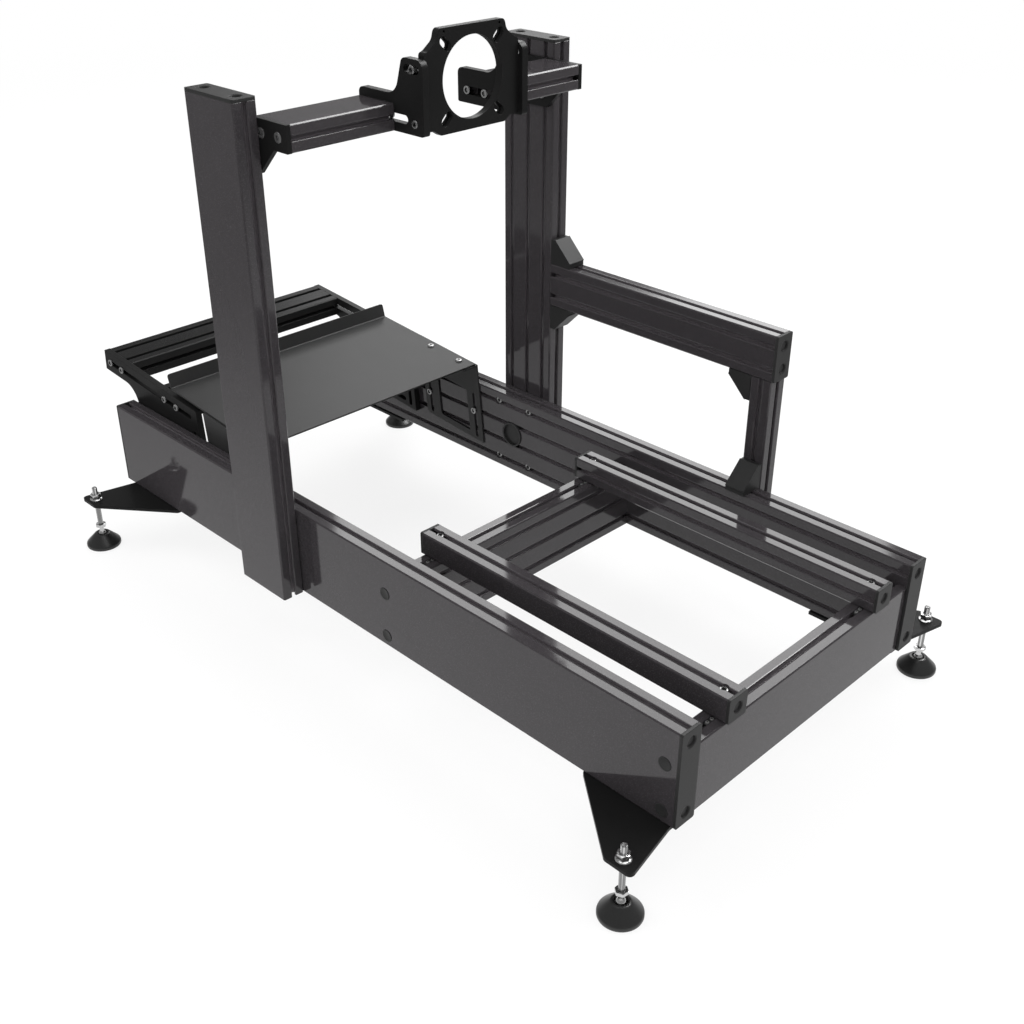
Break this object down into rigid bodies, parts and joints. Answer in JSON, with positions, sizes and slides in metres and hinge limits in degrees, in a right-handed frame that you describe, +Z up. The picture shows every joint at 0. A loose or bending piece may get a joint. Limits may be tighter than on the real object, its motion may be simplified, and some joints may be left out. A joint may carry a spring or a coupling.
{
  "type": "sim racing cockpit",
  "caption": "Open racing-simulator cockpit of T-slot aluminium profiles with a wheel mount, a side shifter arm, a tilted pedal deck, a heel plate and levelling feet.",
  "frame": {"origin": "centre of the footprint on the floor", "axes": "+X to the driver's right, +Y forwards to the pedals, +Z up"},
  "size_m": [0.829, 1.4932, 1],
  "materials": {
    "profile": "dark grey anodised, satin with a fine sparkle",
    "plate": "black powder coat, satin",
    "sheet": "dark grey powder coat, matte",
    "casting": "black painted die casting",
    "cap": "moulded grey plastic",
    "chrome": "bright zinc plating",
    "pad": "black moulded pad"
  },
  "bodies": {
    "root": {"side_beam_left": "profile", "side_beam_right": "profile", "cross_beam_rear": "profile", "cross_beam_middle": "profile", "upright_left": "profile", "upright_right": "profile", "seat_rail_left": "profile", "seat_rail_right": "profile", "wheel_arm_left": "profile", "wheel_arm_right": "profile", "arm_plate_left": "plate", "arm_plate_right": "plate", "wheel_side_plate_left": "plate", "wheel_side_plate_right": "plate", "wheel_front_plate": "plate", "shifter_arm": "profile", "shifter_post": "profile", "corner_brackets": "casting", "corner_bracket_covers": "cap", "deck_side_plate_left": "plate", "deck_side_plate_right": "plate", "deck_profile_front": "profile", "deck_profile_rear": "profile", "heel_plate": "sheet", "heel_bracket_left": "sheet", "heel_bracket_right": "sheet", "foot_studs": "chrome", "foot_pads": "pad", "beam_end_caps": "cap", "upright_end_caps": "cap", "rail_end_caps": "cap", "shifter_arm_cap": "cap", "cable_hole_caps": "cap", "foot_plate_rear_left": "plate", "foot_plate_rear_right": "plate", "foot_plate_front_left": "plate", "foot_plate_front_right": "plate"}
  },
  "joints": []
}
